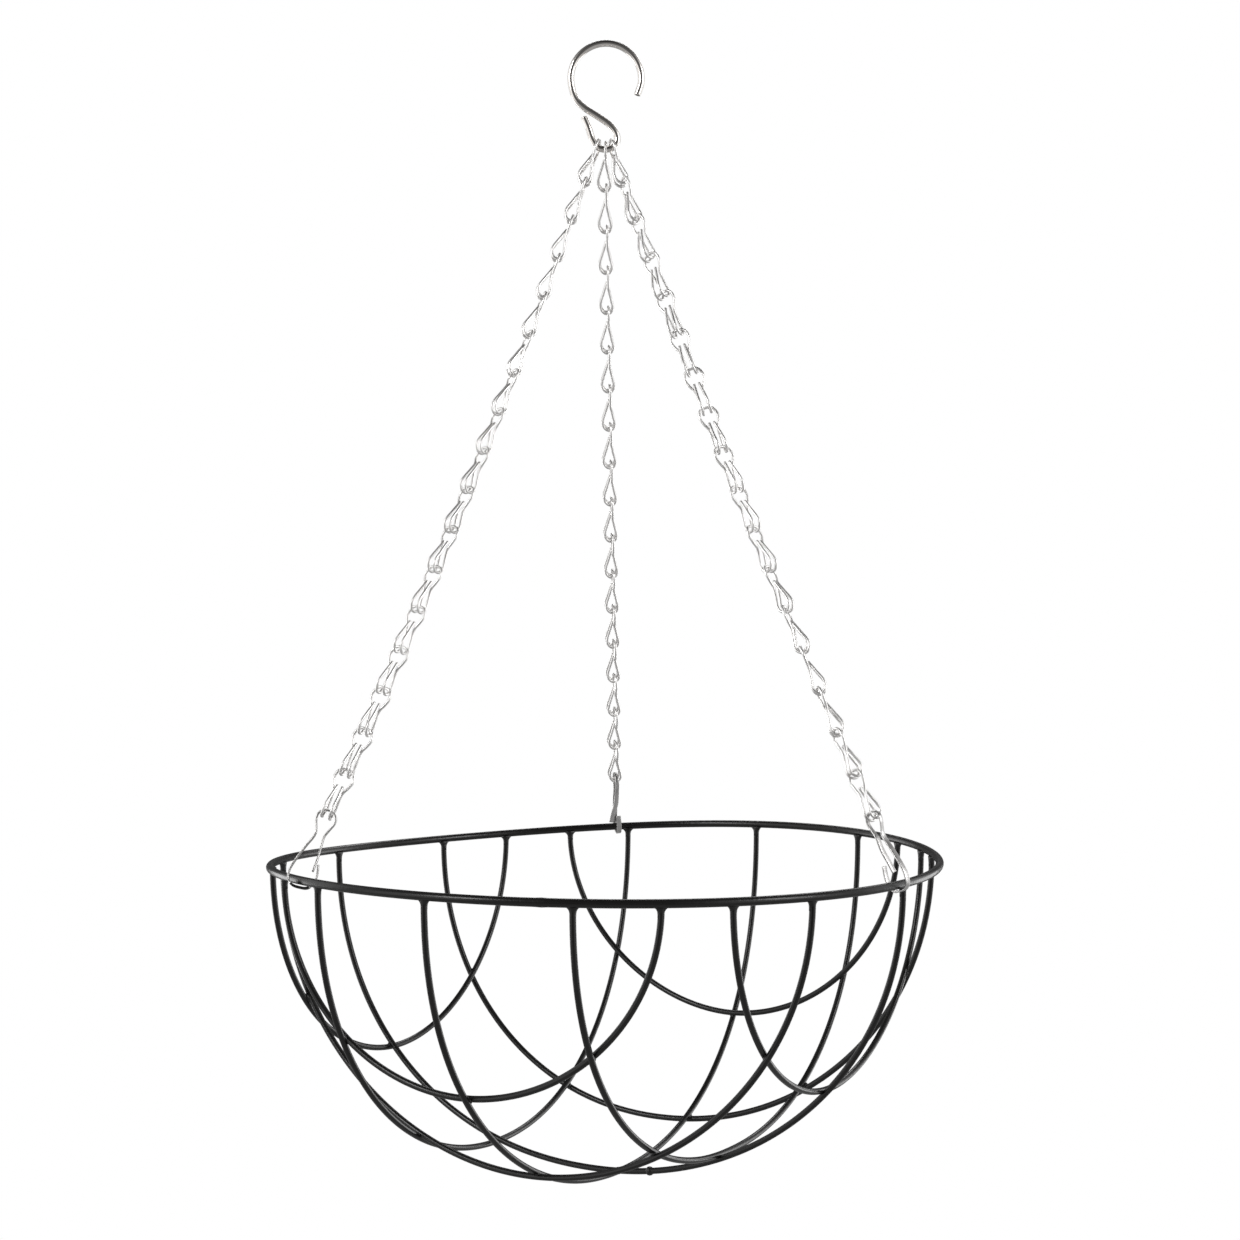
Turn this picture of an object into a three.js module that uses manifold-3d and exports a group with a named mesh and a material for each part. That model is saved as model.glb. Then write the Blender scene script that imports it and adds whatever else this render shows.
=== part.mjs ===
// Round wire hanging basket: a bowl of welded ribs under a rim ring, hung by three wire-link chains
// from one S-hook. Millimetres, +Z up. The origin is the point under the hook's crown where the hook
// rests on whatever it hangs from. +Y points to the rear chain.
import * as THREE from 'three';
import { mergeVertices } from 'three/addons/utils/BufferGeometryUtils.js';
import Module from 'manifold-3d';

const wasm = await Module();
wasm.setup();

// Driving dimensions
const RIM_RADIUS = 175; // axis of the basket to the centre of the rim wire
const RIM_WIRE = 2.0; // radius of the rim wire
const RIM_DROP = 430.0; // hanging point down to the rim
const RIB_WIRE = 1.5; // radius of a rib wire
const RIB_REACH = 174; // basket's axis to the centre of a rib's end, under the rim
const HOOK_WIRE = 1.75; // radius of the S-hook's wire
const CHAIN_WIRE = 0.7; // radius of a link's wire
const CLIP_REACH = 36.0; // crown of a clip down to the centre of the rim wire
const LINKS = 17; // links in one chain
const GAP = 0.3; // air left between pieces that touch
const HEAD_PLAY = 1.0; // air between the hook's bend and the chain heads that hang over it
const FOOT_PLAY = 0.8; // air between the rim and the bottom of a clip
const RIB_STEPS = 34; // straight pieces that a rib's curve is cut into

// Each rib: the two places on the rim that it hangs between, in degrees from +X, how deep its lowest
// point is below the rim, its fullness (2 is half an ellipse, more is squarer), its skew (how far the
// low part leans along the rib, as a share of half its span) and its lean (how far the lowest point
// stands outward of the upright plane through its ends, in mm). Ribs of a family run side by side.
// The families cross, and every crossing leaves the two wires clear of each other.
const RIBS = [
  { name: 'rib_a1', from: 278.5, to: 204.6, depth: 99.0, fullness: 2.0, skew: -0.027, lean: -1.5 },
  { name: 'rib_a2', from: 303.9, to: 175.5, depth: 149.6, fullness: 1.92, skew: 0.016, lean: 6.2 },
  { name: 'rib_a3', from: 151.0, to: 326.1, depth: 160.9, fullness: 2.11, skew: 0.021, lean: 4.2 },
  { name: 'rib_a4', from: 124.1, to: 2.8, depth: 154.2, fullness: 2.07, skew: 0.036, lean: -3.5 },
  { name: 'rib_a5', from: 97.4, to: 20.6, depth: 102.7, fullness: 1.95, skew: -0.003, lean: 1.3 },
  { name: 'rib_b1', from: 186.1, to: 110.3, depth: 112.3, fullness: 1.93, skew: 0.038, lean: -1.0 },
  { name: 'rib_b2', from: 218.0, to: 85.8, depth: 156.0, fullness: 2.14, skew: -0.014, lean: -4.4 },
  { name: 'rib_b3', from: 58.9, to: 242.0, depth: 164.5, fullness: 2.13, skew: 0.034, lean: 3.0 },
  { name: 'rib_b4', from: 33.9, to: 265.7, depth: 144.2, fullness: 2.25, skew: 0.032, lean: -3.1 },
  { name: 'rib_b5', from: 9.3, to: 289.6, depth: 107.4, fullness: 1.89, skew: 0.021, lean: -4.6 },
];
const JOINED = [6, 12]; // the links that are one solid with the link below them

// Each chain: where its head rests along the hook's bend, its place round the rim, how far it sags,
// and the turn of link k about the chain, counted from the view where the link is seen edge-on.
const CHAINS = [
  { name: 'left', onHook: -3.0, azimuth: 213, sag: 5.0, clipTurn: 91, turn: (k) => 6 * (k - 2.5) },
  { name: 'rear', onHook: 0.3, azimuth: 88, sag: 0.5, clipTurn: 10, turn: (k) => 0.9 * (k - 4) },
  {
    name: 'right',
    onHook: 2.6,
    azimuth: 324,
    sag: 4.5,
    clipTurn: 218,
    turn: (k) => 14 + 11.4 * (k - 1) + 0.075 * (k - 1) ** 2,
  },
];

const rad = THREE.MathUtils.degToRad;
const paint = {
  black: () => new THREE.MeshStandardMaterial({ color: 0x2b2a29, roughness: 0.45, metalness: 0.2 }),
  zinc: () => new THREE.MeshStandardMaterial({ color: 0xc9c9c2, roughness: 0.3, metalness: 0.9 }),
  bright: () => new THREE.MeshStandardMaterial({ color: 0xd4d4d2, roughness: 0.12, metalness: 1.0 }),
};
const group = new THREE.Group();

// A curve through hand-set points that is sampled evenly between the points, not along its length,
// so that every point is a corner of the swept wire and tight bends keep their share of the steps.
class KnotCurve extends THREE.CatmullRomCurve3 {
  getPointAt(u, target) {
    return this.getPoint(u, target);
  }

  getTangentAt(u, target) {
    return this.getTangent(u, target);
  }
}

// One rib: a rounded arch, upside down, in or near the upright plane through its two places.
class RibCurve extends THREE.Curve {
  constructor({ from, to, depth, fullness, skew, lean }) {
    super();
    const start = new THREE.Vector2(RIB_REACH, 0).rotateAround(new THREE.Vector2(), rad(from));
    const end = new THREE.Vector2(RIB_REACH, 0).rotateAround(new THREE.Vector2(), rad(to));
    this.middle = start.clone().add(end).multiplyScalar(0.5);
    this.half = start.clone().sub(end).multiplyScalar(0.5);
    this.outward = new THREE.Vector2(-this.half.y, this.half.x).normalize();
    if (this.outward.dot(this.middle) < 0) this.outward.negate();
    this.depth = depth;
    this.power = 2 / fullness;
    this.skew = skew;
    this.lean = lean;
  }

  getPoint(t, target = new THREE.Vector3()) {
    const cos = Math.cos(Math.PI * t);
    const side = Math.sign(cos) * Math.abs(cos) ** this.power;
    const fall = Math.max(Math.sin(Math.PI * t), 0) ** this.power;
    const along = side + this.skew * (1 - side ** 2);
    const aside = this.lean * fall ** 2;
    const top = RIM_WIRE + GAP;
    return target.set(
      this.middle.x + this.half.x * along + this.outward.x * aside,
      this.middle.y + this.half.y * along + this.outward.y * aside,
      -top - fall * (this.depth - top),
    );
  }
}

function roundSection(radius, sides) {
  const corners = Array.from({ length: sides }, (_, i) => {
    const a = (2 * Math.PI * (i + 0.5)) / sides;
    return new THREE.Vector2(radius * Math.cos(a), radius * Math.sin(a));
  });
  return new THREE.Shape(corners);
}

function sweep(section, path, steps) {
  return new THREE.ExtrudeGeometry(section, { steps, bevelEnabled: false, extrudePath: path });
}

function knots(rows) {
  return new KnotCurve(rows.map((row) => new THREE.Vector3(...row)));
}

function addMesh(name, geometry, material, matrix) {
  const mesh = new THREE.Mesh(geometry, material);
  mesh.name = name;
  if (matrix) mesh.applyMatrix4(matrix);
  group.add(mesh);
}

// S-hook, all in the XZ plane: a wide crook over the support, a straight shank across, and a small
// crook with an upright tail that holds the chain heads.
const CROOK_RADIUS = 18.7;
const CROOK_CENTRE_X = 0.4;
const CROOK_CENTRE_Z = HOOK_WIRE - CROOK_RADIUS;
const BEND_Z = -54.3; // lowest point of the hook's wire centre

function hookPath() {
  const rows = [];
  for (let angle = -28; angle < 200; angle += 22.5) {
    const x = CROOK_CENTRE_X + CROOK_RADIUS * Math.cos(rad(angle));
    rows.push([x, 0, CROOK_CENTRE_Z + CROOK_RADIUS * Math.sin(rad(angle))]);
  }
  const lowerCrook = [
    [-15.2, -28.2], [-10.7, -32.6], [-4.4, -36.6], [2.1, -41.2], [5.4, -45.3], [6.4, -49.6], [4.3, -53.2],
    [0.4, BEND_Z],
    [-3.6, -53.5], [-6.6, -49.4], [-9.0, -42.6], [-11.3, -37.2],
  ];
  for (const [x, z] of lowerCrook) rows.push([x, 0, z]);
  return rows;
}

function addHook() {
  const rows = hookPath();
  addMesh('s_hook', sweep(roundSection(HOOK_WIRE, 8), knots(rows), 2 * (rows.length - 1)), paint.bright());
}

function addRim() {
  const turn = new THREE.Matrix4().makeTranslation(0, 0, -RIM_DROP);
  addMesh('rim_ring', new THREE.TorusGeometry(RIM_RADIUS, RIM_WIRE, 8, 60), paint.black(), turn);
}

function addRibs() {
  const place = new THREE.Matrix4().makeTranslation(0, 0, -RIM_DROP);
  for (const rib of RIBS) {
    addMesh(rib.name, sweep(roundSection(RIB_WIRE, 6), new RibCurve(rib), RIB_STEPS), paint.black(), place);
  }
}

// Half of a link from the middle of its head to the cut end, as [across, bulge, up]. The wire goes
// round the head, down one leg, curls round the head of the link below and comes back up.
const HALF_LINK = [
  [0, 0, 0.2], [3.4, 0, -0.7], [4.9, 0, -4.4], [4.0, 0, -8.0], [2.4, -0.3, -11.8], [2.1, -2.2, -20.0],
  [2.1, -2.3, -23.2], [2.1, 0.2, -25.4], [2.1, 3.0, -23.1], [2.05, 4.4, -19.6], [1.7, 2.8, -14.0],
  [1.3, 0.5, -8.3],
];

function linkGeometry() {
  const mirrored = HALF_LINK.slice(1).map(([x, y, z]) => [-x, y, z]);
  const rows = [...mirrored.reverse(), ...HALF_LINK];
  return sweep(roundSection(CHAIN_WIRE, 4), knots(rows), rows.length - 1);
}

// Clip: one flat strip. It starts at the cut end that stands inside the rim, goes round under the rim,
// up the outer leg, over the head and down the inner leg, whose free end passes beside the cut end.
const STRIP_WIDTH = 2.2;
const STRIP_THICKNESS = 0.9;

function clipGeometry() {
  const foot = -(CLIP_REACH + RIM_WIRE + STRIP_THICKNESS / 2 + FOOT_PLAY);
  const rows = [
    [-5.0, 0, -25.6], [-6.3, 0, -30.6], [-6.2, 0, -35], [-4.0, 0, foot + 0.9], [-0.4, 0, foot],
    [3.2, 0, foot], [6.0, 0, foot + 1.9], [7.2, 0, -33.2], [6.6, 0, -28], [4.2, 0.2, -19.4],
    [2.0, 0.4, -11.6], [4.2, 0.4, -5.4], [4.5, 0.4, -2.4], [2.6, 0.4, 0.2], [0, 0.4, 0.8],
    [-2.2, 0.4, 0.5], [-4.4, 0.4, -1.2], [-5.0, 0.4, -4.2], [-3.6, 0.4, -8.6], [-2.6, 0.4, -12],
    [-3.3, 1.2, -18], [-4.1, 3.2, -24.4], [-4.3, 4.3, -29.7],
  ];
  const section = new THREE.Shape([
    new THREE.Vector2(-STRIP_WIDTH / 2, -STRIP_THICKNESS / 2),
    new THREE.Vector2(STRIP_WIDTH / 2, -STRIP_THICKNESS / 2),
    new THREE.Vector2(STRIP_WIDTH / 2, STRIP_THICKNESS / 2),
    new THREE.Vector2(-STRIP_WIDTH / 2, STRIP_THICKNESS / 2),
  ]);
  return sweep(section, knots(rows), rows.length - 1);
}

// The hinge points of a chain, from its head on the hook to the crown of its clip, and the rim point.
function chainPoints(chain) {
  const rise = chain.onHook ** 2 / 14;
  const from = new THREE.Vector3(chain.onHook, 0, BEND_Z + HOOK_WIRE + CHAIN_WIRE + HEAD_PLAY + rise);
  const a = rad(chain.azimuth);
  const rim = new THREE.Vector3(RIM_RADIUS * Math.cos(a), RIM_RADIUS * Math.sin(a), -RIM_DROP);
  const along = rim.clone().sub(from);
  const length = along.length() - CLIP_REACH;
  along.normalize();
  const sagWay = new THREE.Vector3(0, 0, -1).addScaledVector(along, along.z).normalize();
  const points = Array.from({ length: LINKS + 1 }, (_, k) => {
    const share = k / LINKS;
    const sag = 4 * chain.sag * share * (1 - share);
    return from.clone().addScaledVector(along, length * share).addScaledVector(sagWay, sag);
  });
  return { points, rim };
}

// A frame whose origin is the hinge point: X across the link, Y towards its bulge, Z up the chain.
function chainFrame(top, bottom, turnDegrees) {
  const up = top.clone().sub(bottom).normalize();
  const across = new THREE.Vector3(-Math.sin(rad(turnDegrees)), Math.cos(rad(turnDegrees)), 0);
  across.addScaledVector(up, -across.dot(up)).normalize();
  const bulge = up.clone().cross(across);
  return new THREE.Matrix4().makeBasis(across, bulge, up).setPosition(top);
}

function toSolid(geometry, matrix) {
  const plain = geometry.clone().applyMatrix4(matrix);
  plain.deleteAttribute('normal');
  plain.deleteAttribute('uv');
  const merged = mergeVertices(plain, 1e-4);
  const vertProperties = new Float32Array(merged.attributes.position.array);
  const triVerts = new Uint32Array(merged.index.array);
  return new wasm.Manifold(new wasm.Mesh({ numProp: 3, vertProperties, triVerts }));
}

function toGeometry(solid) {
  const { vertProperties, triVerts } = solid.getMesh();
  const geometry = new THREE.BufferGeometry();
  geometry.setAttribute('position', new THREE.BufferAttribute(vertProperties, 3));
  geometry.setIndex(new THREE.BufferAttribute(triVerts, 1));
  return geometry;
}

// Two neighbouring links as one solid, joined where the hooks bear on the next head.
function joinedLinks(link, frame, nextFrame) {
  let solid = toSolid(link, frame).add(toSolid(link, nextFrame));
  for (const side of [-2.1, 2.1]) {
    const bridge = new THREE.BoxGeometry(0.9, 0.9, 2.6);
    bridge.translate(side, 0.2, -23.9);
    solid = solid.add(toSolid(bridge, frame));
  }
  return toGeometry(solid);
}

const twoDigits = (k) => String(k).padStart(2, '0');

function addChain(chain) {
  const { points, rim } = chainPoints(chain);
  const link = linkGeometry();
  const frameOf = (k) => chainFrame(points[k - 1], points[k], chain.turn(k));
  for (let k = 1; k <= LINKS; k += 1) {
    if (JOINED.includes(k)) {
      const name = `${chain.name}_links_${twoDigits(k)}_${twoDigits(k + 1)}`;
      addMesh(name, joinedLinks(link, frameOf(k), frameOf(k + 1)), paint.zinc());
      k += 1;
    } else {
      addMesh(`${chain.name}_link_${twoDigits(k)}`, link, paint.zinc(), frameOf(k));
    }
  }
  addMesh(`${chain.name}_clip`, clipGeometry(), paint.zinc(), chainFrame(points[LINKS], rim, chain.clipTurn));
}

addHook();
addRim();
addRibs();
CHAINS.forEach(addChain);

export default group;
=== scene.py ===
"""Looks of the round wire hanging basket: a welded, coated wire bowl, three wire-link chains with
spring clips, and a polished S-hook. Lengths in the tables are millimetres in the part's own frame."""
import math

import bpy
import numpy as np
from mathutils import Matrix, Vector


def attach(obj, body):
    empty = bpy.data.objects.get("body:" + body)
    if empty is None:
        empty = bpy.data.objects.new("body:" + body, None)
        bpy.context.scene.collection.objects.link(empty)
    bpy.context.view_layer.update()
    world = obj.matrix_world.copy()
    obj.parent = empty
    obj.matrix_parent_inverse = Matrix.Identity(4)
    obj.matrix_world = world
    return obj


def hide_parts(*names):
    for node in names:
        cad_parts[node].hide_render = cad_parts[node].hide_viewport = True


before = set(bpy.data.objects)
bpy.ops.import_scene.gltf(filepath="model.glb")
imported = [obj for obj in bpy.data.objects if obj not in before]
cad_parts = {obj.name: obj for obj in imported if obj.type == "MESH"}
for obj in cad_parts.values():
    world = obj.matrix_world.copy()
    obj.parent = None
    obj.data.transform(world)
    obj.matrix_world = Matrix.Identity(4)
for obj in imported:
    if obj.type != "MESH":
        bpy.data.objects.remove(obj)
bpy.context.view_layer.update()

MM = 0.001

# Driving dimensions, as in the CAD part
RIM_RADIUS = 175.0
RIM_WIRE = 2.08
RIM_DROP = 430.0
RIB_WIRE = 1.6
RIB_REACH = 174.0
HOOK_WIRE = 1.75
CHAIN_WIRE = 0.7
STRIP_WIDTH = 2.2
STRIP_THICKNESS = 0.9
CLIP_REACH = 36.0
FOOT_PLAY = 0.5
# How far the left clip's thickened foot, painted black as shade under the rim, sits lower
SHADED_FOOT_DROP = 0.35
HEAD_PLAY = 1.0
LINKS = 17
JOINED = (6, 12)
BEND_Z = -54.3

# Ribs: from and to on the rim in degrees, depth, fullness, skew, lean
RIBS = {
    "rib_a1": (278.7, 204.5, 99.0, 1.97, -0.025, -0.4),
    "rib_a2": (303.7, 174.5, 148.4, 1.99, 0.011, 6.8),
    "rib_a3": (151.0, 326.2, 161.2, 2.10, 0.026, 3.1),
    "rib_a4": (124.1, 2.4, 153.9, 2.06, 0.036, -4.4),
    "rib_a5": (97.5, 20.6, 103.0, 1.93, -0.009, 1.8),
    "rib_b1": (185.4, 110.6, 112.2, 1.98, 0.039, -1.8),
    "rib_b2": (218.2, 85.8, 156.3, 2.10, -0.017, -4.4),
    "rib_b3": (59.0, 242.0, 164.1, 2.14, 0.033, 3.4),
    "rib_b4": (33.8, 265.6, 145.1, 2.20, 0.024, -2.9),
    "rib_b5": (9.9, 289.8, 106.4, 1.98, 0.009, -2.8),
}

# Chains: rest on the hook's bend, azimuth on the rim, sag, turn of the clip, turn of link k
CHAINS = {
    "left": (-3.0, 213, 5.0, 91, lambda k: 6 * (k - 2.5)),
    "rear": (0.3, 88, 0.5, 10, lambda k: 0.9 * (k - 4)),
    "right": (2.6, 324, 4.5, 218, lambda k: 14 + 11.4 * (k - 1) + 0.075 * (k - 1) ** 2),
}


# ---------------------------------------------------------------- curves

def catmull(points, per_segment):
    """An open centripetal Catmull-Rom curve through the points, sampled evenly in each segment."""
    p = np.asarray(points, float)
    p = np.vstack([2 * p[0] - p[1], p, 2 * p[-1] - p[-2]])
    out = []
    for i in range(1, len(p) - 2):
        p0, p1, p2, p3 = p[i - 1:i + 3]
        t0 = 0.0
        t1 = t0 + np.linalg.norm(p1 - p0) ** 0.5
        t2 = t1 + np.linalg.norm(p2 - p1) ** 0.5
        t3 = t2 + np.linalg.norm(p3 - p2) ** 0.5
        for s in np.arange(per_segment) / per_segment:
            t = t1 + s * (t2 - t1)
            a1 = (t1 - t) / (t1 - t0) * p0 + (t - t0) / (t1 - t0) * p1
            a2 = (t2 - t) / (t2 - t1) * p1 + (t - t1) / (t2 - t1) * p2
            a3 = (t3 - t) / (t3 - t2) * p2 + (t - t2) / (t3 - t2) * p3
            b1 = (t2 - t) / (t2 - t0) * a1 + (t - t0) / (t2 - t0) * a2
            b2 = (t3 - t) / (t3 - t1) * a2 + (t - t1) / (t3 - t1) * a3
            out.append((t2 - t) / (t2 - t1) * b1 + (t - t1) / (t2 - t1) * b2)
    out.append(p[-2])
    return np.array(out)


def unit(v):
    return v / np.maximum(np.linalg.norm(v, axis=-1, keepdims=True), 1e-12)


def carried_frames(path, closed, first):
    """Tangents, normals and binormals carried along the path without twist."""
    n = len(path)
    if closed:
        tangents = unit(np.roll(path, -1, 0) - np.roll(path, 1, 0))
    else:
        tangents = unit(np.gradient(path, axis=0))
    normals = np.zeros_like(path)
    start = np.asarray(first, float)
    start = start - tangents[0] * (start @ tangents[0])
    normals[0] = unit(start)
    for i in range(1, n):
        v = normals[i - 1] - tangents[i] * (normals[i - 1] @ tangents[i])
        normals[i] = unit(v)
    return tangents, normals, np.cross(tangents, normals)


def sweep(path, section, closed=False, first=(0, 0, 1), scale=None, chamfer=0.0, widen=None):
    """Vertices and faces of a section carried along a path, with chamfered flat ends. The scale grows the
    section at each point, and widen grows only its second axis."""
    path = np.asarray(path, float)
    section = np.asarray(section, float)
    size = np.ones(len(path)) if scale is None else np.asarray(scale, float)
    wide = np.ones(len(path)) if widen is None else np.asarray(widen, float)
    tangents, normals, sides = carried_frames(path, closed, first)
    if not closed and chamfer:
        path = np.vstack([path[0], path[0] + tangents[0] * chamfer, path[1:-1],
                          path[-1] - tangents[-1] * chamfer, path[-1]])
        pad = [0, *range(len(size)), len(size) - 1]
        tangents, normals, sides = tangents[pad], normals[pad], sides[pad]
        size, wide = size[pad], wide[pad]
        reach = np.abs(section).max()
        size[[0, -1]] *= max(0.2, 1 - chamfer / reach)
    m, n = len(section), len(path)
    across = section[None, :, :1] * normals[:, None] + section[None, :, 1:] * (wide[:, None] * sides)[:, None]
    rings = path[:, None] + size[:, None, None] * across
    verts = rings.reshape(-1, 3)
    faces = []
    for i in range(n if closed else n - 1):
        a, b = i * m, ((i + 1) % n) * m
        for j in range(m):
            k = (j + 1) % m
            faces.append((a + j, a + k, b + k, b + j))
    if not closed:
        faces.append(tuple(range(m))[::-1])
        faces.append(tuple(range((n - 1) * m, n * m)))
    return verts, faces


def circle(radius, sides):
    a = 2 * np.pi * (np.arange(sides) + 0.5) / sides
    return radius * np.column_stack([np.cos(a), np.sin(a)])


def rounded_strip(width, thickness, edge, steps=4):
    """The section of a flat strip whose long edges are rounded."""
    rows = []
    for cx, cy, a0 in ((1, 1, 0), (-1, 1, 90), (-1, -1, 180), (1, -1, 270)):
        for s in range(steps):
            a = math.radians(a0 + 90 * s / (steps - 1))
            rows.append((cx * (thickness / 2 - edge) + edge * math.cos(a),
                         cy * (width / 2 - edge) + edge * math.sin(a)))
    return np.array(rows)


# ---------------------------------------------------------------- materials

class Nodes:
    """Short calls for building a material's nodes."""

    def __init__(self, name):
        self.material = bpy.data.materials.new(name)
        self.material.use_nodes = True
        self.tree = self.material.node_tree
        self.bsdf = next(n for n in self.tree.nodes if n.type == "BSDF_PRINCIPLED")
        self.coord = self.tree.nodes.new("ShaderNodeTexCoord")

    def make(self, kind, inputs=None, **settings):
        node = self.tree.nodes.new(kind)
        for key, value in settings.items():
            setattr(node, key, value)
        for key, value in (inputs or {}).items():
            self.put(node.inputs[key], value)
        return node

    def put(self, socket, value):
        if isinstance(value, bpy.types.NodeSocket):
            self.tree.links.new(value, socket)
        else:
            socket.default_value = value

    def noise(self, scale, detail=3.0, rough=0.55, stretch=None):
        vector = self.coord.outputs["Object"]
        if stretch:
            vector = self.make("ShaderNodeMapping", {"Vector": vector, "Scale": stretch}).outputs[0]
        inputs = {"Vector": vector, "Scale": scale, "Detail": detail, "Roughness": rough}
        return self.make("ShaderNodeTexNoise", inputs).outputs["Fac"]

    def ramp(self, value, low, high, out_low=0.0, out_high=1.0):
        return self.make("ShaderNodeMapRange",
                         {"Value": value, "From Min": low, "From Max": high,
                          "To Min": out_low, "To Max": out_high}).outputs["Result"]

    def mix(self, factor, a, b):
        node = self.make("ShaderNodeMix", data_type="RGBA")
        self.put(node.inputs[0], factor)
        self.put(node.inputs[6], a)
        self.put(node.inputs[7], b)
        return node.outputs[2]

    def bump(self, height, strength, distance, normal=None):
        inputs = {"Height": height, "Strength": strength, "Distance": distance}
        if normal is not None:
            inputs["Normal"] = normal
        return self.make("ShaderNodeBump", inputs).outputs["Normal"]

    def finish(self, **sockets):
        for key, value in sockets.items():
            self.put(self.bsdf.inputs[key.replace("_", " ")], value)
        return self.material


def grey(value, warm=0.0):
    return (value * (1 + warm), value, value * (1 - warm), 1.0)


def coating():
    """Semi-gloss black coat: fine orange peel, slightly uneven gloss, a trace of dust on top."""
    m = Nodes("black_coating")
    peel = m.noise(900, 2.0)
    patches = m.noise(55, 4.0, 0.6)
    dust = m.ramp(m.noise(210, 5.0, 0.65), 0.56, 0.78)
    up = m.make("ShaderNodeSeparateXYZ", {"Vector": m.coord.outputs["Normal"]}).outputs["Z"]
    settled = m.make("ShaderNodeMath", {0: dust, 1: m.ramp(up, 0.2, 1.0)}, operation="MULTIPLY").outputs[0]
    tone = m.mix(patches, grey(0.007, 0.03), grey(0.012, 0.04))
    m.bsdf.inputs["Specular IOR Level"].default_value = 0.34
    return m.finish(
        Base_Color=m.mix(m.ramp(settled, 0, 1, 0, 0.25), tone, grey(0.06, 0.03)),
        Roughness=m.ramp(patches, 0.3, 0.7, 0.20, 0.31),
        Normal=m.bump(m.noise(260, 3.0), 0.22, 0.0004, m.bump(peel, 0.25, 0.00012)))


def weld_coating(name):
    """The same coat over a weld: lumpier, a little duller. Also used as painted shade on the left clip's foot
    under the rim.
    """
    m = Nodes(name)
    lumps = m.noise(650, 4.0, 0.6)
    m.bsdf.inputs["Specular IOR Level"].default_value = 0.42
    return m.finish(Base_Color=m.mix(lumps, grey(0.006), grey(0.012, 0.03)),
                    Roughness=m.ramp(lumps, 0.3, 0.7, 0.26, 0.42),
                    Normal=m.bump(lumps, 0.45, 0.0006))


def zinc(name, low, high, rough_low, rough_high):
    """Bright zinc plate on drawn wire: faint clouding, darker specks, fine draw marks."""
    m = Nodes(name)
    clouds = m.noise(130, 4.0, 0.6)
    specks = m.ramp(m.noise(1500, 2.0), 0.66, 0.74)
    draw = m.noise(420, 3.0, 0.6, stretch=(1.0, 1.0, 0.12))
    tone = m.mix(m.ramp(clouds, 0.32, 0.68), grey(low, 0.016), grey(high, 0.012))
    m.bsdf.inputs["Metallic"].default_value = 1.0
    return m.finish(Base_Color=m.mix(m.ramp(specks, 0, 1, 0, 0.35), tone, grey(low * 0.45, 0.02)),
                    Roughness=m.ramp(clouds, 0.3, 0.7, rough_low, rough_high),
                    Normal=m.bump(draw, 0.18, 0.00012))


def polished():
    """Polished plate on the hook: near mirror, with faint haze and hairline draw marks."""
    m = Nodes("polished_wire")
    haze = m.noise(90, 4.0, 0.6)
    hair = m.noise(700, 2.0, 0.5, stretch=(0.3, 1.0, 0.3))
    m.bsdf.inputs["Metallic"].default_value = 1.0
    return m.finish(Base_Color=m.mix(haze, grey(0.70, 0.05), grey(0.80, 0.04)),
                    Roughness=m.ramp(haze, 0.3, 0.7, 0.10, 0.18),
                    Normal=m.bump(hair, 0.10, 0.00006))


COAT = coating()
WELD = weld_coating("weld_coating")
LINK_ZINC = zinc("zinc_link", 0.74, 0.86, 0.34, 0.46)
CLIP_ZINC = zinc("zinc_clip", 0.50, 0.62, 0.30, 0.42)
# Painted shade: black for the left clip's foot, where the rim shades it
FOOT_SHADE_PAINT = weld_coating("painted_foot_shade")
BRIGHT = polished()


# ---------------------------------------------------------------- pieces

def piece(name, verts, faces, material, body, replaces=()):
    """A mesh piece in metres that rides a body, smooth but for its cut ends."""
    mesh = bpy.data.meshes.new(name)
    mesh.from_pydata([tuple(v * MM) for v in np.asarray(verts)], [], faces)
    mesh.validate()
    mesh.shade_smooth()
    for polygon in mesh.polygons:
        polygon.use_smooth = polygon.loop_total == 4 or polygon.loop_total == 3
    mesh.materials.append(material)
    obj = bpy.data.objects.new(name, mesh)
    bpy.context.scene.collection.objects.link(obj)
    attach(obj, body)
    if replaces:
        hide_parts(*replaces)
    return obj


# The butt weld that closes the rim: degrees round it, half width in radians, growth of the wire
SEAM_AZIMUTH = 261.0
SEAM_WIDTH = 0.011
SEAM_RISE = 0.09


def rim_point(theta):
    """The rim's centre line: a circle that is slightly rolled and sprung out of its plane."""
    theta = np.asarray(theta, float)
    x, y = RIM_RADIUS * np.cos(theta), RIM_RADIUS * np.sin(theta)
    warp = 2.7 * np.sin(2 * theta) * (1 + 0.37 * np.sin(theta))
    return np.stack([x, y, -RIM_DROP + 0.0096 * x + warp], -1)


def rim_height(theta):
    """How far the twisted rim stands above its nominal plane."""
    return rim_point(theta)[2] + RIM_DROP


def make_rim():
    theta = 2 * np.pi * np.arange(360) / 360
    near = np.exp(-(((theta - np.radians(SEAM_AZIMUTH)) / SEAM_WIDTH) ** 2))
    verts, faces = sweep(rim_point(theta), circle(RIM_WIRE, 20), closed=True, scale=1 + SEAM_RISE * near)
    piece("rim_wire", verts, faces, COAT, "basket", ["rim_ring"])


SUNK = 0.7  # how far a rib's end goes into the rim wire


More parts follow.
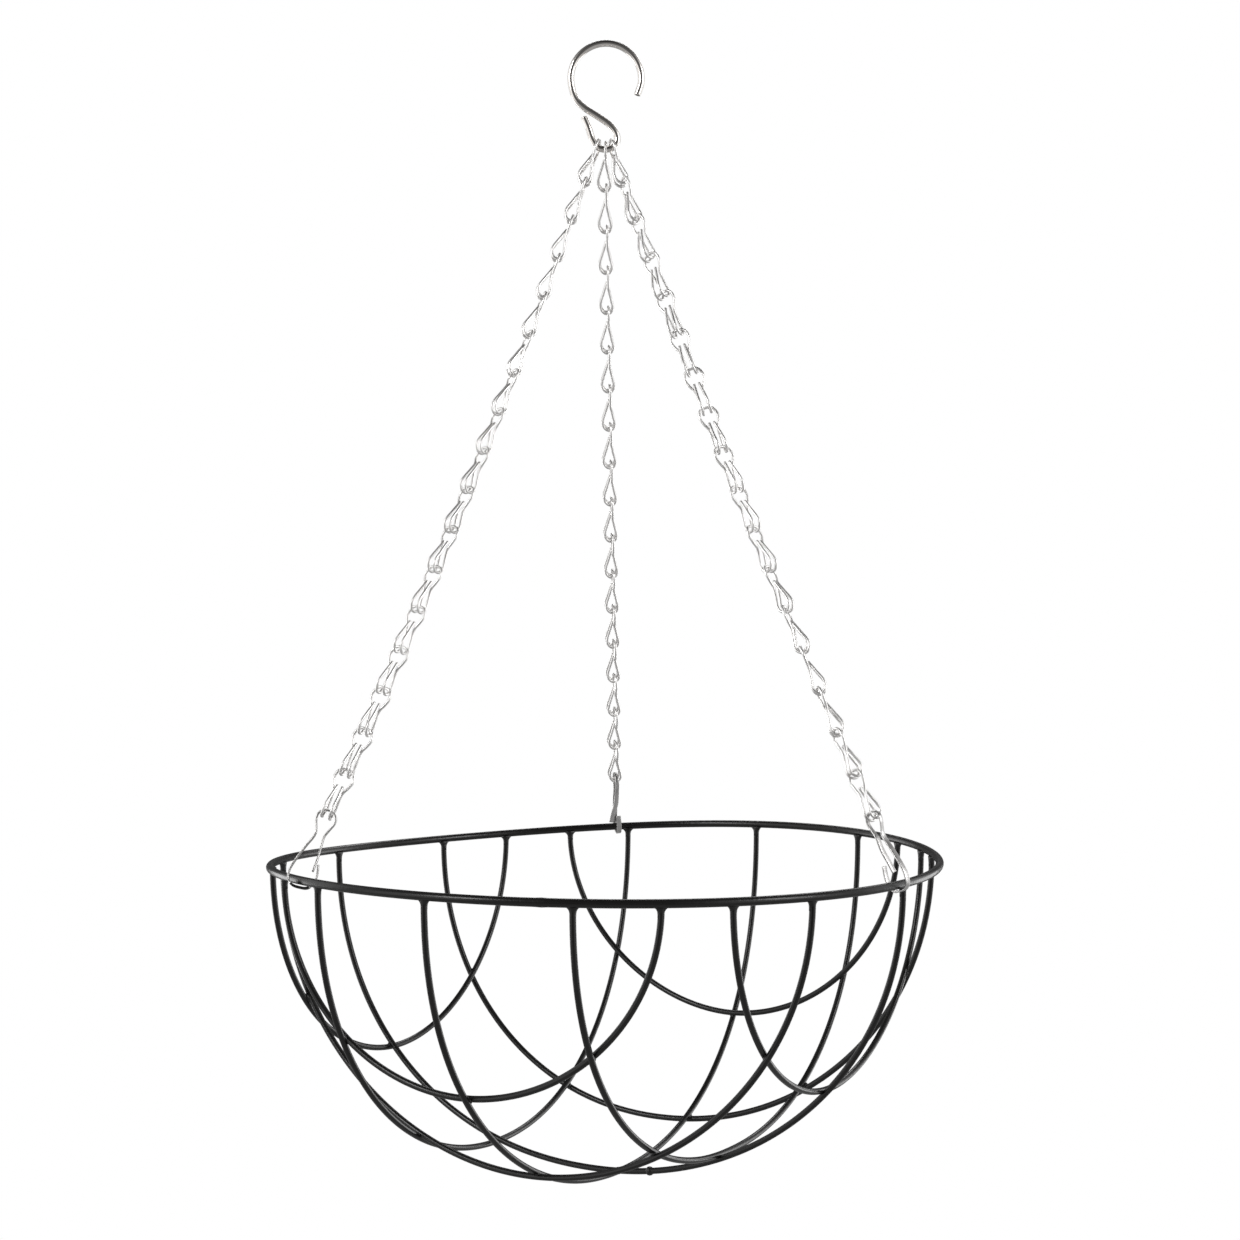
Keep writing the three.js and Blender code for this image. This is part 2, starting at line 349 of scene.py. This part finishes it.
def rib_path(row, steps=220):
    """A rib's centre line: a superellipse arch from rim to rim, evenly stepped."""
    start, end, depth, fullness, skew, lean = row
    a, b = math.radians(start), math.radians(end)
    p = RIB_REACH * np.array([math.cos(a), math.sin(a)])
    q = RIB_REACH * np.array([math.cos(b), math.sin(b)])
    middle, half = (p + q) / 2, (p - q) / 2
    out = unit(np.array([-half[1], half[0]]))
    if out @ middle < 0:
        out = -out
    power = 2 / fullness
    t = np.linspace(0, 1, steps + 1)
    cos, sin = np.cos(np.pi * t), np.clip(np.sin(np.pi * t), 0, None)
    side, fall = np.sign(cos) * np.abs(cos) ** power, sin ** power
    along = side + skew * (1 - side ** 2)
    xy = middle + along[:, None] * half + (lean * fall ** 2)[:, None] * out
    share = (1 + side) / 2
    top = share * rim_height(a) + (1 - share) * rim_height(b) - RIM_WIRE + SUNK
    z = -RIM_DROP + top * (1 - fall) - fall * depth
    path = np.column_stack([xy, z])
    steps_along = np.r_[0, np.cumsum(np.linalg.norm(np.diff(path, axis=0), axis=1))]
    even = np.linspace(0, steps_along[-1], steps + 1)
    return np.column_stack([np.interp(even, steps_along, path[:, i]) for i in range(3)])


def blob(centre, axes, seed, segments=16, rings=9):
    """A slightly lumpy closed ellipsoid: a weld's bead."""
    rng = np.random.default_rng(seed)
    phase = rng.uniform(0, 2 * np.pi, 4)
    verts = [centre + axes[2]]
    for i in range(1, rings):
        v = np.pi * i / rings
        for j in range(segments):
            u = 2 * np.pi * j / segments
            lump = 1 + 0.05 * math.sin(2 * u + phase[0] + 2 * v) + 0.04 * math.sin(3 * u + phase[1])
            ring = math.sin(v) * (math.cos(u) * axes[0] + math.sin(u) * axes[1])
            verts.append(centre + lump * ring + math.cos(v) * axes[2])
    verts.append(centre - axes[2])
    faces = []
    for j in range(segments):
        faces.append((0, 1 + j, 1 + (j + 1) % segments))
    for i in range(rings - 2):
        a, b = 1 + i * segments, 1 + (i + 1) * segments
        for j in range(segments):
            k = (j + 1) % segments
            faces.append((a + j, b + j, b + k, a + k))
    last, a = len(verts) - 1, 1 + (rings - 2) * segments
    for j in range(segments):
        faces.append((a + j, last, a + (j + 1) % segments))
    return np.array(verts), faces


def joined(parts):
    """Several meshes as one."""
    verts, faces, base = [], [], 0
    for v, f in parts:
        verts.append(v)
        faces += [tuple(i + base for i in face) for face in f]
        base += len(v)
    return np.vstack(verts), faces


def closest(a, b):
    """The indices of the closest places of two dense paths, and the distance there."""
    d = np.linalg.norm(a[:, None] - b[None], axis=2)
    i, j = np.unravel_index(np.argmin(d), d.shape)
    return i, j, d[i, j]


WELD_GAP = 4.2  # centre lines further apart than this aren't welded

# Lumps of weld on the lowest wire: place in plan, radius
WELD_LUMPS = (((6.9, -16.4), 1.95), ((23.2, -26.2), 2.35))

# The flared skirt from the rim's underside down on to a rib: fall, half width along the rim and across it
SKIRT = (
    (0.0, 3.5, 1.9), (0.9, 3.1, 1.85), (1.6, 2.3, 1.8), (2.5, 1.8, 1.7), (3.8, 1.6, 1.6), (5.4, 1.52, 1.52),
)


def make_ribs():
    paths = {name: rib_path(row) for name, row in RIBS.items()}
    for name, path in paths.items():
        verts, faces = sweep(path, circle(RIB_WIRE, 14), first=(1, 0.3, 0), chamfer=0.2)
        piece(name.replace("rib_", "rib_wire_"), verts, faces, COAT, "basket", [name])
    beads = []
    names = sorted(paths)
    seed = 1
    for i, first in enumerate(names):
        for second in names[i + 1:]:
            if first[4] == second[4]:
                continue
            a, b = paths[first], paths[second]
            ia, ib, gap = closest(a, b)
            if gap > WELD_GAP or not (3 < ia < len(a) - 4 and 3 < ib < len(b) - 4):
                continue
            ta, tb = unit(a[ia + 1] - a[ia - 1]), unit(b[ib + 1] - b[ib - 1])
            through = unit(b[ib] - a[ia])
            # The bead fills the two narrow corners between the wires most.
            if ta @ tb < 0:
                tb = -tb
            long_way = unit(ta + tb)
            wide_way = unit(np.cross(through, long_way))
            rng = np.random.default_rng(100 + seed)
            reach = rng.uniform(2.1, 2.7)
            axes = [long_way * reach, wide_way * rng.uniform(1.5, 1.8), through * rng.uniform(1.15, 1.5)]
            beads.append(blob((a[ia] + b[ib]) / 2, axes, seed))
            seed += 1
    # Two lumps of weld stand on the lowest wire, beside its crossings.
    lowest = paths["rib_a3"]
    for place, radius in WELD_LUMPS:
        i = int(np.argmin(np.linalg.norm(lowest[:, :2] - place, axis=1)))
        way = unit(lowest[i + 1] - lowest[i - 1])
        aside = unit(np.cross(way, (0, 0, 1)))
        beads.append(blob(lowest[i], [way * radius, aside * radius, np.cross(aside, way) * radius], seed))
        seed += 1
    verts, faces = joined(beads)
    piece("crossing_welds", verts, faces, WELD, "basket")
    caps = []
    for name, path in paths.items():
        for end, step in ((0, 1), (-1, -1)):
            tip = path[end]
            theta = math.atan2(tip[1], tip[0])
            rim = rim_point(theta)
            way = unit(rim_point(theta + 0.01) - rim_point(theta - 0.01))
            inward = unit(np.cross((0, 0, 1), way))
            down = unit(path[end + 7 * step] - tip)
            start = rim - np.array((0, 0, RIM_WIRE * 0.55)) + (tip - rim) * (1, 1, 0)
            rows = []
            sides = 16
            for fall, along, across in SKIRT:
                centre = start + down * fall
                for j in range(sides):
                    u = 2 * np.pi * j / sides
                    rows.append(centre + way * along * math.cos(u) + inward * across * math.sin(u))
            verts = np.array(rows)
            faces = []
            n = len(SKIRT)
            for s in range(n - 1):
                for j in range(sides):
                    k = (j + 1) % sides
                    faces.append((s * sides + j, (s + 1) * sides + j, (s + 1) * sides + k, s * sides + k))
            faces.append(tuple(range(sides)))
            faces.append(tuple(range((n - 1) * sides, n * sides))[::-1])
            caps.append((verts, faces))
    verts, faces = joined(caps)
    piece("rim_welds", verts, faces, WELD, "basket")


HOOK_LOWER = [
    (-15.2, -28.2), (-10.7, -32.6), (-4.4, -36.6), (2.1, -41.2), (5.4, -45.3), (6.4, -49.6), (4.3, -53.2),
    (0.4, BEND_Z), (-3.6, -53.5), (-6.6, -49.4), (-9.0, -42.6), (-11.3, -37.2),
]
CROOK_RADIUS = 18.7
CROOK_CENTRE = (0.4, HOOK_WIRE - CROOK_RADIUS)


def make_hook():
    rows = []
    for angle in np.arange(-28, 200, 22.5):
        a = math.radians(angle)
        x, z = CROOK_CENTRE[0] + CROOK_RADIUS * math.cos(a), CROOK_CENTRE[1] + CROOK_RADIUS * math.sin(a)
        rows.append((x, 0, z))
    rows += [(x, 0, z) for x, z in HOOK_LOWER]
    verts, faces = sweep(catmull(rows, 12), circle(HOOK_WIRE, 28), first=(0, 1, 0), chamfer=0.3)
    piece("hook_wire", verts, faces, BRIGHT, "s_hook", ["s_hook"])


HALF_LINK = [
    (0, 0, 0.2), (3.4, 0, -0.7), (4.9, 0, -4.4), (4.0, 0, -8.0), (2.4, -0.2, -11.6), (2.1, -1.3, -17.4),
    (2.1, -2.2, -22.6), (2.1, -0.7, -25.1), (2.1, 1.9, -25.3), (2.1, 4.0, -23.0), (2.1, 4.4, -20.2),
    (1.8, 2.7, -14.6), (1.3, 0.7, -8.4),
]


def clip_rows(foot):
    """The clip's strip from the cut end inside the rim, under the rim, up and over the head, and down."""
    return [
        (-5.0, 0, -25.6), (-6.3, 0, -30.6), (-6.2, 0, -35), (-4.0, 0, foot + 0.9), (-0.4, 0, foot),
        (3.2, 0, foot), (6.0, 0, foot + 1.9), (7.2, 0, -33.2), (6.6, 0, -28), (4.2, 0.2, -19.4),
        (2.0, 0.4, -11.6), (4.2, 0.4, -5.4), (4.5, 0.4, -2.4), (2.6, 0.4, 0.2), (0, 0.4, 0.8),
        (-2.2, 0.4, 0.5), (-4.4, 0.4, -1.2), (-5.0, 0.4, -4.2), (-3.6, 0.4, -8.6), (-2.6, 0.4, -12),
        (-3.3, 1.2, -18), (-4.1, 3.2, -24.4), (-4.3, 4.3, -29.7),
    ]


def chain_points(on_hook, azimuth, sag):
    head = np.array([on_hook, 0, BEND_Z + HOOK_WIRE + CHAIN_WIRE + HEAD_PLAY + on_hook ** 2 / 14])
    a = math.radians(azimuth)
    rim = np.array([RIM_RADIUS * math.cos(a), RIM_RADIUS * math.sin(a), -RIM_DROP])
    along = rim - head
    length = np.linalg.norm(along) - CLIP_REACH
    along = unit(along)
    sag_way = unit(np.array([0, 0, -1]) + along * along[2])
    share = np.arange(LINKS + 1)[:, None] / LINKS
    return head + along * length * share + sag_way * 4 * sag * share * (1 - share), rim


def hang(rows, top, bottom, turn):
    """Points given across, towards the bulge and up, placed at a hinge point."""
    up = unit(top - bottom)
    t = math.radians(turn)
    across = np.array([-math.sin(t), math.cos(t), 0])
    across = unit(across - up * (across @ up))
    return top + np.asarray(rows, float) @ np.array([across, np.cross(up, across), up])


def make_chain(side, row):
    on_hook, azimuth, sag, clip_turn, turn = row
    points, rim = chain_points(on_hook, azimuth, sag)
    rows = [(-x, y, z) for x, y, z in HALF_LINK[:0:-1]] + HALF_LINK
    wire = catmull(rows, 6)
    for k in range(1, LINKS + 1):
        lead = k - 1 if k - 1 in JOINED else k
        body = f"{side}_links_{lead:02d}_{lead + 1:02d}" if lead in JOINED else f"{side}_link_{k:02d}"
        path = hang(wire, points[k - 1], points[k], turn(k))
        verts, faces = sweep(path, circle(CHAIN_WIRE, 10), first=path[0] - path[len(path) // 2], chamfer=0.15)
        piece(f"{side}_wire_link_{k:02d}", verts, faces, LINK_ZINC, body, [body])
    # The left clip's foot is made thicker and lower and painted black as shade under the rim.
    shaded_foot = side == "left"
    lift = rim_height(math.radians(azimuth))
    foot = lift - (CLIP_REACH + RIM_WIRE + STRIP_THICKNESS / 2 + FOOT_PLAY) - (SHADED_FOOT_DROP if shaded_foot else 0)
    strip = catmull(clip_rows(foot), 6)
    path = hang(strip, points[LINKS], rim, clip_turn)
    wide_way = hang([(0, 1, 0)], points[LINKS], rim, clip_turn)[0] - points[LINKS]
    start = unit(np.cross(wide_way, path[1] - path[0]))
    # The strip is wider below the head than over it.
    widen = 1 + 0.30 * np.clip((-9.0 - strip[:, 2]) / 5.0, 0, 1)
    section = rounded_strip(STRIP_WIDTH, STRIP_THICKNESS, 0.32)
    under = (strip[:, 2] < -37.0) & (strip[:, 0] < 5.2) & (strip[:, 2] < foot + 2.5)
    thick = 1 + 0.35 * under * np.clip((5.2 - strip[:, 0]) / 1.5, 0, 1) if shaded_foot else None
    verts, faces = sweep(path, section, first=start, scale=thick, chamfer=0.12, widen=widen)
    clip = piece(f"{side}_spring_clip", verts, faces, CLIP_ZINC, f"{side}_clip", [f"{side}_clip"])
    if shaded_foot:
        # Painted shade: the left clip's foot under the rim is painted black for the rim's shade and dark
        # reflection.
        clip.data.materials.append(FOOT_SHADE_PAINT)
        rows = np.flatnonzero(under)
        low, high = (rows.min() + 1) * len(section), (rows.max() + 1) * len(section)
        for polygon in clip.data.polygons:
            if low <= min(polygon.vertices) and max(polygon.vertices) < high:
                polygon.material_index = 1


# ---------------------------------------------------------------- stage, lights, camera

# Metres
FLOOR_Z = -2.2
FLOOR_RADIUS = 8.5
BACKDROP_RADIUS = 9.0
LIT_POINT = (0, 0, -0.32)

BACKDROP_GLOW = 1.0


def glowing(name, strength):
    material = bpy.data.materials.new(name)
    material.use_nodes = True
    nodes, links = material.node_tree.nodes, material.node_tree.links
    nodes.clear()
    glow, out = nodes.new("ShaderNodeEmission"), nodes.new("ShaderNodeOutputMaterial")
    glow.inputs["Strength"].default_value = strength
    links.new(glow.outputs[0], out.inputs["Surface"])
    return material


def stage_piece(name, verts, faces, material):
    """A plain surface for the camera only: the object is lit by the studio, not by what is behind it."""
    mesh = bpy.data.meshes.new(name)
    mesh.from_pydata(verts, [], faces)
    mesh.materials.append(material)
    obj = bpy.data.objects.new(name, mesh)
    bpy.context.scene.collection.objects.link(obj)
    obj.visible_diffuse = obj.visible_glossy = obj.visible_transmission = obj.visible_shadow = False


def make_stage():
    around, levels = 64, 24
    turns = [2 * math.pi * i / around for i in range(around)]
    ring = [(FLOOR_RADIUS * math.cos(u), FLOOR_RADIUS * math.sin(u), FLOOR_Z) for u in turns]
    stage_piece("floor", ring, [tuple(range(around))], glowing("pale_floor", BACKDROP_GLOW))
    verts, faces = [], []
    for i in range(levels + 1):
        v = math.pi * (i + 0.01) / (levels + 0.02)
        across, up = BACKDROP_RADIUS * math.sin(v), BACKDROP_RADIUS * math.cos(v)
        verts += [(across * math.cos(u), across * math.sin(u), up) for u in turns]
    for i in range(levels):
        for j in range(around):
            k = (j + 1) % around
            faces.append((i * around + j, i * around + k, (i + 1) * around + k, (i + 1) * around + j))
    stage_piece("backdrop", verts, faces, glowing("pale_backdrop", BACKDROP_GLOW))


def area(name, place, size, power):
    light = bpy.data.lights.new(name, "AREA")
    light.shape = "RECTANGLE"
    light.size, light.size_y = size
    light.energy = power
    obj = bpy.data.objects.new(name, light)
    bpy.context.scene.collection.objects.link(obj)
    obj.location = place
    obj.rotation_euler = (Vector(place) - Vector(LIT_POINT)).to_track_quat("Z", "Y").to_euler()


def make_lights():
    """A tent with soft pale walls at both sides, darker ends and top, and a pale floor."""
    world = bpy.data.worlds.new("studio")
    world.use_nodes = True
    tree = world.node_tree
    background = tree.nodes["Background"]

    def math_node(kind, a, b=None):
        node = tree.nodes.new("ShaderNodeMath")
        node.operation = kind
        for socket, value in zip(node.inputs, (a, b)):
            if isinstance(value, bpy.types.NodeSocket):
                tree.links.new(value, socket)
            elif value is not None:
                socket.default_value = value
        return node.outputs[0]

    def span(value, low, high, out_low, out_high):
        node = tree.nodes.new("ShaderNodeMapRange")
        node.interpolation_type = "SMOOTHSTEP"
        tree.links.new(value, node.inputs["Value"])
        for key, number in (("From Min", low), ("From Max", high), ("To Min", out_low), ("To Max", out_high)):
            node.inputs[key].default_value = number
        return node.outputs[0]

    coord = tree.nodes.new("ShaderNodeTexCoord")
    split = tree.nodes.new("ShaderNodeSeparateXYZ")
    tree.links.new(coord.outputs["Generated"], split.inputs[0])
    x, y, z = split.outputs
    x_squared = math_node("MULTIPLY", x, x)
    level = math_node("ADD", x_squared, math_node("ADD", math_node("MULTIPLY", y, y), 0.0001))
    sideways = math_node("DIVIDE", x_squared, level)
    pale, middle = span(sideways, 0.20, 0.58, 0.11, 1.2), span(sideways, 0.985, 0.998, 1.0, 0.35)
    walls = math_node("MULTIPLY", pale, middle)
    walls = math_node("MULTIPLY", walls, span(z, 0.35, 0.8, 1.0, 0.15))
    below = span(z, -0.5, -0.15, 1.0, 0.0)
    above = math_node("MULTIPLY", walls, math_node("SUBTRACT", 1.0, below))
    value = math_node("ADD", above, math_node("MULTIPLY", below, 0.4))
    tree.links.new(value, background.inputs["Strength"])
    background.inputs["Color"].default_value = (1, 1, 1, 1)
    scene = bpy.context.scene
    scene.world = world
    scene.view_settings.view_transform = "Standard"
    area("key", (-1.5, -1.3, 0.7), (0.5, 1.0), 16)
    area("fill", (1.7, -0.9, 0.4), (0.4, 1.2), 12)
    area("back", (0.4, 1.8, 1.0), (1.4, 0.4), 8)
    area("edge_left", (-1.46, 1.14, -0.65), (0.9, 0.9), 6)
    area("edge_right", (1.46, 1.14, -0.65), (0.9, 0.9), 6)


def make_camera():
    data = bpy.data.cameras.new("camera")
    data.lens, data.sensor_width = 61.17, 36.0
    camera = bpy.data.objects.new("camera", data)
    camera.location = (0.0078, -1.115, -0.3034)
    camera.rotation_euler = (math.pi / 2, 0, 0)
    bpy.context.scene.collection.objects.link(camera)
    bpy.context.scene.camera = camera


make_rim()
make_ribs()
make_hook()
for side, row in CHAINS.items():
    make_chain(side, row)
make_stage()
make_lights()
make_camera()
